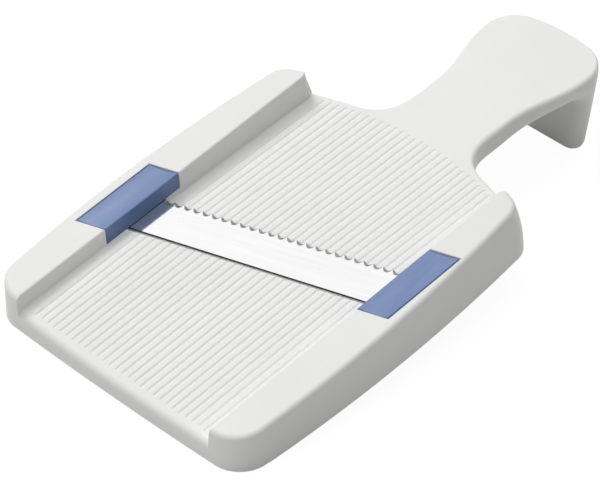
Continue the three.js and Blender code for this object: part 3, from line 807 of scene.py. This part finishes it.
def groove_tool():
    """One groove's cutter, soft in profile and rounded out at both ends, running back along -Y from 0."""
    share = np.linspace(1, 0, 9)
    curve = np.column_stack([share * GROOVE_HALF, -GROOVE_DEPTH * (1 + np.cos(math.pi * share)) / 2])
    profile = np.vstack([curve, other_side(curve)[1:]])
    side = GROOVE_HALF + GROOVE_TOOL_SIDE
    low, high = GROOVE_TOOL_BRIM
    brim = np.array([(-side, low), (-side, high), (side, high), (side, low)])
    ends = np.array([0.0, 0.12, 0.35, 0.65, 1.0]) * GROOVE_RUN_OUT
    rings = []
    for along in np.concatenate([ends, GROOVE_TOOL_LENGTH - ends[::-1]]):
        near = min(along, GROOVE_TOOL_LENGTH - along, GROOVE_RUN_OUT) / GROOVE_RUN_OUT
        sink = math.sqrt(max(1 - (1 - near) ** 2, 0))
        wide = GROOVE_END_WIDTH + (1 - GROOVE_END_WIDTH) * sink
        groove = profile * (wide, sink) + (0, GROOVE_END_RISE * (1 - sink))
        section = np.vstack([groove, brim])
        rings.append(at_place(section, -along))
    return solid("groove_tool", rings)


def grooves_tree():
    tree = tree_with(
        "deck_grooves", Object=["Cutter"], Int=["Count"], Material=["Moulding"],
        Float=["Cutter length", "Pitch", "Exit length", "Exit end", "Exit level", "Entry level",
               "Far edge", "Far bow", "Far half width", "Blade middle", "Blade slant",
               "Fall across", "Fall along", "Fall from"])
    b = Bench(tree)
    i = b.node("NodeGroupInput").outputs
    row = b.row(i["Count"], i["Pitch"])
    cutter = b.node("GeometryNodeObjectInfo", Object=i["Cutter"]).outputs["Geometry"]
    x = b.position()[0]

    place = b.vector(x, i["Exit end"], i["Exit level"])
    spots = b.out("GeometryNodeSetPosition", Geometry=row, Position=place)
    stretch = b.vector(1.0, b.maths("DIVIDE", i["Exit length"], i["Cutter length"]), 1.0)
    exits = b.out("GeometryNodeInstanceOnPoints", Points=spots, Instance=cutter, Scale=stretch)

    share = b.maths("POWER", b.maths("DIVIDE", x, i["Far half width"]), 2.0)
    far = b.maths("ADD", i["Far edge"], b.maths("MULTIPLY", i["Far bow"], b.maths("SUBTRACT", 1.0, share)))
    near = b.maths("ADD", i["Blade middle"], b.maths("MULTIPLY", i["Blade slant"], x))
    length = b.node("GeometryNodeCaptureAttribute")
    length.capture_items.new("FLOAT", "Length")
    b.feed(length.inputs["Geometry"], row)
    b.feed(length.inputs["Length"], b.maths("DIVIDE", b.maths("SUBTRACT", far, near), i["Cutter length"]))
    spots = b.out("GeometryNodeSetPosition", Geometry=length.outputs["Geometry"],
                  Position=b.vector(x, far, i["Entry level"]))
    stretch = b.vector(1.0, length.outputs["Length"], 1.0)
    entries = b.out("GeometryNodeInstanceOnPoints", Points=spots, Instance=cutter, Scale=stretch)

    exits = b.out("GeometryNodeRealizeInstances", Geometry=exits)
    entries = b.out("GeometryNodeRealizeInstances", Geometry=entries)
    at = b.position()
    fall = b.maths("SUBTRACT", b.maths("MULTIPLY", i["Fall across"], at[0]),
                   b.maths("MULTIPLY", i["Fall along"], b.maths("SUBTRACT", at[1], i["Fall from"])))
    entries = b.out("GeometryNodeSetPosition", Geometry=entries, Offset=b.vector(z=fall))

    away = b.node("GeometryNodeMeshBoolean", {"operation": AWAY, "solver": SOLVER})
    b.feed(away.inputs["Mesh 1"], i["Geometry"])
    for tool in (entries, exits):
        b.feed(away.inputs["Mesh 2"], tool)
    whole = b.out("GeometryNodeRealizeInstances", Geometry=away.outputs["Mesh"])
    whole = b.out("GeometryNodeSetMaterial", Geometry=whole, Material=i["Moulding"])
    b.node("NodeGroupOutput", Geometry=whole)
    return tree


def grooved(body, white):
    tool = groove_tool()
    exit_end = blade_line(GROOVE_PITCH * (GROOVE_COUNT - 1) / 2, -BLADE_WIDTH / 2) + UNDER_BLADE
    with_tree(body, grooves_tree(), {
        "Cutter": tool, "Cutter length": GROOVE_TOOL_LENGTH, "Count": GROOVE_COUNT, "Pitch": GROOVE_PITCH,
        "Exit length": exit_end - GROOVE_NEAR_MARGIN, "Exit end": exit_end,
        "Exit level": -EXIT_DEPTH, "Entry level": -entry_depth,
        "Far edge": RAIL_LENGTH - GROOVE_FAR_MARGIN, "Far bow": FAR_BOW, "Far half width": far_edge_x,
        "Blade middle": BLADE_Y, "Blade slant": blade_slant,
        "Fall across": entry_fall_x, "Fall along": entry_fall_y, "Fall from": entry_edge_y,
        "Moulding": white})
    bpy.data.meshes.remove(tool.data)
    return body


def scallops_tree():
    tree = tree_with(
        "blade_scallops", Int=["Count"], Material=["Polished", "Ground", "Cut"],
        Float=["Pitch", "Middle", "Start", "Wheel radius", "Wheel length", "Grind angle"])
    b = Bench(tree)
    i = b.node("NodeGroupInput").outputs
    row = b.row(i["Count"], i["Pitch"], i["Middle"], i["Start"])
    wheel = b.node("GeometryNodeMeshCylinder", {"fill_type": "NGON"}, Vertices=WHEEL_FACES,
                   Radius=i["Wheel radius"], Depth=i["Wheel length"]).outputs["Mesh"]
    wheel = b.out("GeometryNodeTransform", Geometry=wheel, Rotation=(math.pi / 2, 0, 0),
                  Translation=b.vector(z=i["Wheel radius"]))
    wheel = b.out("GeometryNodeTransform", Geometry=wheel,
                  Rotation=b.vector(x=b.maths("MULTIPLY", i["Grind angle"], -1.0)))
    wheel = b.out("GeometryNodeSetMaterial", Geometry=wheel, Material=i["Ground"])
    wheels = b.out("GeometryNodeInstanceOnPoints", Points=row, Instance=wheel)
    wheels = b.out("GeometryNodeRealizeInstances", Geometry=wheels)
    wheels = b.out("GeometryNodeStoreNamedAttribute", {"data_type": "BOOLEAN", "domain": "FACE"},
                   Geometry=wheels, Name="ground", Value=True)
    away = b.node("GeometryNodeMeshBoolean", {"operation": AWAY, "solver": "EXACT"}, Self_Intersection=True)
    b.feed(away.inputs["Mesh 1"], i["Geometry"])
    b.feed(away.inputs["Mesh 2"], wheels)
    whole = b.out("GeometryNodeRealizeInstances", Geometry=away.outputs["Mesh"])
    whole = b.out("GeometryNodeSetMaterial", Geometry=whole, Material=i["Polished"])
    # Faces that stand on edge get the Cut material, a near-black steel that is painted shade for the seam's
    # gap.
    upright = b.axes(b.out("GeometryNodeInputNormal"))[2]
    side = b.maths("LESS_THAN", b.maths("ABSOLUTE", upright), EDGE_FACE_TILT)
    whole = b.out("GeometryNodeSetMaterial", Geometry=whole, Selection=side, Material=i["Cut"])
    # Ground facets take the Ground material, whose dark grey is a painted dark reflection.
    ground = b.out("GeometryNodeInputNamedAttribute", {"data_type": "BOOLEAN"}, Name="ground")
    whole = b.out("GeometryNodeSetMaterial", Geometry=whole, Selection=ground, Material=i["Ground"])
    b.node("NodeGroupOutput", Geometry=whole)
    return tree


# Finishing

def placed(piece, matrix):
    piece.data.transform(matrix)
    piece.data.update()
    return piece


def islands(build):
    """Sets of faces that hang together by their edges."""
    left = set(build.faces)
    while left:
        front = [left.pop()]
        island = set(front)
        while front:
            near = {f for e in front.pop().edges for f in e.link_faces} & left
            left -= near
            island |= near
            front.extend(near)
        yield island


def cleaned(piece):
    """The piece without the slivers, doubled faces and crumbs that cutting leaves."""
    build = bmesh.new()
    build.from_mesh(piece.data)
    bmesh.ops.remove_doubles(build, verts=build.verts, dist=SLIVER)
    bmesh.ops.dissolve_degenerate(build, edges=build.edges, dist=SLIVER)
    bmesh.ops.triangulate(build, faces=[f for f in build.faces if len(f.verts) > 4])
    bmesh.ops.dissolve_degenerate(build, edges=build.edges, dist=SLIVER)
    same = {}
    for face in build.faces:
        same.setdefault(frozenset(face.verts), []).append(face)
    doubled = [f for faces in same.values() if len(faces) > 1 for f in faces]
    bmesh.ops.delete(build, geom=doubled, context="FACES")
    whole = max(islands(build), key=len)
    crumbs = [f for f in build.faces if f not in whole]
    bmesh.ops.delete(build, geom=crumbs, context="FACES")
    build.to_mesh(piece.data)
    build.free()
    return piece


def smoothed(piece, angle):
    mesh = piece.data
    mesh.polygons.foreach_set("use_smooth", np.ones(len(mesh.polygons), bool))
    mesh.set_sharp_from_angle(angle=math.radians(angle))
    step = piece.modifiers.new("even_shading", "WEIGHTED_NORMAL")
    step.keep_sharp = True
    apply_modifiers(piece)


def finished(piece, body, node):
    piece.name = piece.data.name = node + "_finished"
    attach(piece, body)
    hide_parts(node)


to_row = Matrix.Scale(MM, 4) @ Matrix.Translation((0, row_y, 0))
tip_up = Matrix(((1, 0, 0, 0), (0, 1, 0, 0), (0, rail_climb, 1, NEAR_HEIGHT), (0, 0, 0, 1)))
blade_turn = Matrix.Rotation(RAIL_SLOPE, 4, "X") @ Matrix.Rotation(BLADE_SKEW, 4, "Z")


def block_below(name, end):
    """Block under height 0, from before the near end to a place along the slicer."""
    plan = [(-DEEP, TABLE_NEAR), (DEEP, TABLE_NEAR), (DEEP, end), (-DEEP, end)]
    return solid(name, upright_rings(plan, -DEEP, 0))


def make_body(white):
    body = grooved(moulding(), white)
    placed(body, tip_up)
    rim = block_below("rim_cut", deck_back + RIM_CUT_PAST)
    placed(rim, Matrix.Translation((0, FOOT_LENGTH, 0)) @ Matrix.Rotation(RIM_SLOPE, 4, "X"))
    cut(body, (AWAY, rim), (AWAY, block_below("table_cut", TABLE_FAR)))
    smoothed(placed(cleaned(body), to_row), MOULDING_SHARP)
    finished(body, "body", "body")


def make_blade(polished, ground, cut_edge_painted_shade):
    blade = solid("slicer_blade", upright_rings(blade_plan(0), -BLADE_THICKNESS, 0))
    count = int(2 * RUNWAY_HALF / math.cos(BLADE_SKEW) / SCALLOP_PITCH)
    with_tree(blade, scallops_tree(), {
        "Count": count, "Pitch": SCALLOP_PITCH, "Middle": BLADE_WIDTH / 2 * math.tan(BLADE_SKEW),
        "Start": BLADE_WIDTH / 2 - SCALLOP_BITE - BLADE_THICKNESS / math.tan(SCALLOP_ANGLE),
        "Wheel radius": SCALLOP_RADIUS, "Wheel length": WHEEL_LENGTH, "Grind angle": SCALLOP_ANGLE,
        "Polished": polished, "Ground": ground, "Cut": cut_edge_painted_shade})
    lift = NEAR_HEIGHT + rail_climb * BLADE_Y - EXIT_DEPTH
    placed(blade, to_row @ Matrix.Translation((0, BLADE_Y, lift)) @ blade_turn)
    smoothed(blade, STEEL_SHARP)
    finished(blade, "blade", "blade")


def clip_rings():
    """Rings along the right-hand clip: a dished plate with a wall down to the blade, soft at its edges."""
    inner, outer = RUNWAY_HALF, RUNWAY_HALF + CLIP_WIDTH
    middle, half = (inner + outer) / 2, CLIP_WIDTH / 2
    r = CLIP_EDGE
    turn = quarter_turn(6)
    top = [(inner + r * (1 - math.cos(t)), r * (math.sin(t) - 1)) for t in turn]
    top += [(x, 0.0) for x in np.linspace(inner + r, outer - r, 15)[1:-1]]
    top += [(outer - r * (1 - math.cos(t)), r * (math.sin(t) - 1)) for t in turn[::-1]]
    top = np.array(top)
    top[:, 1] -= CLIP_DISH * np.clip(1 - ((top[:, 0] - middle) / (half - r)) ** 2, 0, None)
    wall_foot = HAIR - seat_depth
    under = np.array([(outer, -CLIP_PLATE), (inner + CLIP_WALL, -CLIP_PLATE), (inner + CLIP_WALL, wall_foot),
                      (inner + RAIL_DRAFT * wall_foot, wall_foot)])
    rings = []
    for side in (-1, 1):
        for t in turn[::-side]:
            section = np.vstack([top - (0, r * (1 - math.sin(t))), under])
            y = CLIP_Y + blade_slant * section[:, 0] + side * (CLIP_HALF - r * (1 - math.cos(t)))
            rings.append(at_place(section, y))
    return rings


def make_clip(name, place, blue):
    clip = solid(name, place(clip_rings()))
    for peg in pegs(PEG_RADIUS, boss_foot, -CLIP_PLATE / 2 - CLIP_DISH):
        cut(clip, (JOIN, solid("peg", place(peg))))
    placed(clip, to_row @ tip_up)
    clip.data.materials.clear()
    clip.data.materials.append(blue)
    smoothed(clip, MOULDING_SHARP)
    finished(clip, name, name)


# Materials

# Values of a noise between which it goes from the first to the second of two tones
NOISE_LOW, NOISE_HIGH = 0.3, 0.7


class Finish(Bench):
    """One material, with helpers for the nodes that give it its grain."""

    def __init__(self, name):
        self.made = bpy.data.materials.new(name)
        self.made.use_nodes = True
        super().__init__(self.made.node_tree)
        self.shader = self.tree.nodes["Principled BSDF"]
        self.coords = self.node("ShaderNodeTexCoord").outputs["Object"]

    def set(self, **values):
        for key, value in values.items():
            self.feed(self.shader.inputs[key.replace("_", " ")], value)
        return self.made

    def laid(self, scale, turn):
        return self.out("ShaderNodeMapping", {"vector_type": "TEXTURE"},
                        Vector=self.coords, Scale=scale, Rotation=turn)

    def noise(self, scale, detail=2.0, roughness=0.5, vector=None):
        return self.node("ShaderNodeTexNoise", Scale=scale, Detail=detail, Roughness=roughness,
                         Vector=self.coords if vector is None else vector).outputs["Fac"]

    def between(self, share, low, high):
        return self.out("ShaderNodeMapRange", Value=share, From_Min=NOISE_LOW, From_Max=NOISE_HIGH,
                        To_Min=low, To_Max=high)

    def tones(self, share, low, high):
        ramp = self.node("ShaderNodeValToRGB", Fac=share)
        dark, light = ramp.color_ramp.elements
        dark.position, light.position = NOISE_LOW, NOISE_HIGH
        dark.color, light.color = (*low, 1), (*high, 1)
        return ramp.outputs["Color"]

    def greys(self, share, low, high):
        return self.tones(share, (low, low, low), (high, high, high))

    def bumps(self, *layers):
        """Normal after layers of height, strength and distance, one on the other."""
        normal = None
        for height, strength, distance in layers:
            bump = self.node("ShaderNodeBump", Height=height, Strength=strength, Distance=distance)
            if normal is not None:
                self.feed(bump.inputs["Normal"], normal)
            normal = bump.outputs["Normal"]
        return normal


def white_moulding():
    f = Finish("white_moulding")
    return f.set(
        IOR=1.49, Specular_IOR_Level=0.2,
        Base_Color=f.tones(f.noise(22, 4), (0.83, 0.83, 0.815), (0.868, 0.868, 0.858)),
        Roughness=f.between(f.noise(240, 3), 0.40, 0.52),
        Normal=f.bumps((f.noise(1500, 2, 0.6), 0.2, 0.00006), (f.noise(420, 3), 0.12, 0.00015),
                       (f.noise(90, 2), 0.06, 0.0003)))


def blue_moulding():
    f = Finish("blue_moulding")
    flow = f.noise(1, 2, 0.5, f.laid((0.005, 0.03, 0.02), (0, 0, 0)))
    return f.set(
        IOR=1.5, Specular_IOR_Level=0.8,
        Base_Color=f.tones(flow, (0.064, 0.134, 0.332), (0.112, 0.186, 0.388)),
        Roughness=f.between(f.noise(400, 3), 0.36, 0.46),
        Normal=f.bumps((f.noise(1900, 2, 0.6), 0.12, 0.00005), (f.noise(140, 2), 0.05, 0.0002)))


def polished_steel():
    f = Finish("polished_steel")
    lines = f.noise(1, 3, 0.6, f.laid((0.03, 0.0004, 0.0004), blade_turn.to_euler()))
    return f.set(
        Metallic=1.0, Base_Color=f.greys(lines, 0.895, 0.93), Roughness=f.between(lines, 0.06, 0.12),
        Normal=f.bumps((lines, 0.02, 0.00002)))


# Near-black steel for the blade's cut edges: painted shade, standing in for the shadow in the gap between the
# exit deck and the blade's near edge.
def cut_steel_painted_shade():
    f = Finish("cut_steel_painted_shade")
    return f.set(
        Metallic=1.0, Base_Color=f.greys(f.noise(3000, 3), 0.03, 0.06),
        Roughness=f.between(f.noise(1200, 2), 0.5, 0.65), Normal=f.bumps((f.noise(4000, 2), 0.2, 0.00005)))


# Ground facets of the scallops, with grind lines along the grind; their dark grey is a painted dark
# reflection, darker than the steel itself.
def ground_steel_painted_reflection():
    f = Finish("ground_steel_painted_reflection")
    lines = f.noise(1, 3, 0.6, f.laid((0.0003, 0.01, 0.01), blade_turn.to_euler()))
    return f.set(
        Metallic=1.0, Base_Color=f.greys(lines, 0.24, 0.36), Roughness=f.between(lines, 0.26, 0.42),
        Normal=f.bumps((lines, 0.12, 0.00004)))


white, blue = white_moulding(), blue_moulding()
make_body(white)
make_blade(polished_steel(), ground_steel_painted_reflection(), cut_steel_painted_shade())
make_clip("clip_right", as_drawn, blue)
make_clip("clip_left", half_turned, blue)


# Studio, in metres

FLOOR_SIZE = 6
FLOOR_DROP = 0.0003
FLOOR_GREY = 0.74
FLOOR_GLOW = 1.1
FLOOR_SEEN = 0.86
WORLD_LIGHT = 0.2
WORLD_SEEN = 1.0

# The world counts one bounce more than the floor does
FLOOR_BOUNCES = 1.5
WORLD_BOUNCES = 2.5

# Place, size and watts of each lamp, and the spot that all of them face
SOFTBOXES = {
    "left_softbox": ((-1.3, 0.0, 2.0), 1.0, 26),
    "near_softbox": ((-0.4, -2.2, 2.0), 2.0, 16.5),
    "far_softbox": ((0.1, 0.8, 2.3), 1.6, 17.5),
    "low_softbox": ((1.6, -1.6, 0.8), 1.2, 0.6)}
LAMP_AIM = (0, 0, 0.02)

# Camera, fitted to the photograph: the spot on the table that it faces, and where it stands from there
CAMERA_AIM = (-13.5868 * MM, (108.8683 + row_y) * MM, 0)
CAMERA_TURN = math.radians(45.0369)
CAMERA_RISE = math.radians(39.0372)
CAMERA_DISTANCE = 1.3589948
LENS, SENSOR = 216, 36


def seen_white(bench, low, high, bounces):
    """Strength of a white that the camera sees, straight or in one reflection; low for all other light."""
    path = bench.node("ShaderNodeLightPath").outputs
    seen = path["Is Camera Ray"]
    for ray in ("Is Glossy Ray", "Is Transmission Ray"):
        seen = bench.maths("MAXIMUM", seen, path[ray])
    share = bench.maths("MULTIPLY", seen, bench.maths("LESS_THAN", path["Ray Depth"], bounces))
    return bench.out("ShaderNodeMapRange", Value=share, To_Min=low, To_Max=high)


def pale_floor():
    bpy.ops.mesh.primitive_plane_add(size=FLOOR_SIZE, location=(0, 0, -FLOOR_DROP))
    floor = bpy.context.object
    floor.name = "pale_floor"
    made = bpy.data.materials.new("pale_floor")
    made.use_nodes = True
    made.node_tree.nodes.clear()
    b = Bench(made.node_tree)
    matt = b.node("ShaderNodeBsdfDiffuse", Color=(FLOOR_GREY, FLOOR_GREY, FLOOR_GREY, 1))
    glow = b.node("ShaderNodeEmission", Strength=FLOOR_GLOW)
    mix = b.node("ShaderNodeMixShader", Fac=seen_white(b, 0.0, FLOOR_SEEN, FLOOR_BOUNCES))
    b.feed(mix.inputs[1], matt.outputs[0])
    b.feed(mix.inputs[2], glow.outputs[0])
    b.node("ShaderNodeOutputMaterial", Surface=mix.outputs[0])
    floor.data.materials.append(made)


def studio_world():
    world = bpy.data.worlds.new("studio")
    world.use_nodes = True
    back = world.node_tree.nodes["Background"]
    back.inputs["Color"].default_value = (1, 1, 1, 1)
    b = Bench(world.node_tree)
    b.feed(back.inputs["Strength"], seen_white(b, WORLD_LIGHT, WORLD_SEEN, WORLD_BOUNCES))
    bpy.context.scene.world = world


def set_up(name, data, place, facing):
    """A lamp or camera at its place, facing that way."""
    item = bpy.data.objects.new(name, data)
    item.location = place
    item.rotation_euler = facing.to_track_quat("-Z", "Y").to_euler()
    bpy.context.scene.collection.objects.link(item)
    return item


def softboxes():
    for name, (place, size, watts) in SOFTBOXES.items():
        lamp = bpy.data.lights.new(name, "AREA")
        lamp.shape = "SQUARE"
        lamp.size, lamp.energy = size, watts
        set_up(name, lamp, place, Vector(LAMP_AIM) - Vector(place))


def camera():
    lens = bpy.data.cameras.new("view")
    lens.sensor_fit, lens.sensor_width, lens.lens = "HORIZONTAL", SENSOR, LENS
    lens.clip_start, lens.clip_end = 0.05, 20
    level = math.cos(CAMERA_RISE)
    away = Vector((math.sin(CAMERA_TURN) * level, -math.cos(CAMERA_TURN) * level, math.sin(CAMERA_RISE)))
    bpy.context.scene.camera = set_up("view", lens, Vector(CAMERA_AIM) + away * CAMERA_DISTANCE, -away)


pale_floor()
studio_world()
softboxes()
camera()
bpy.context.scene.view_settings.view_transform = "Standard"
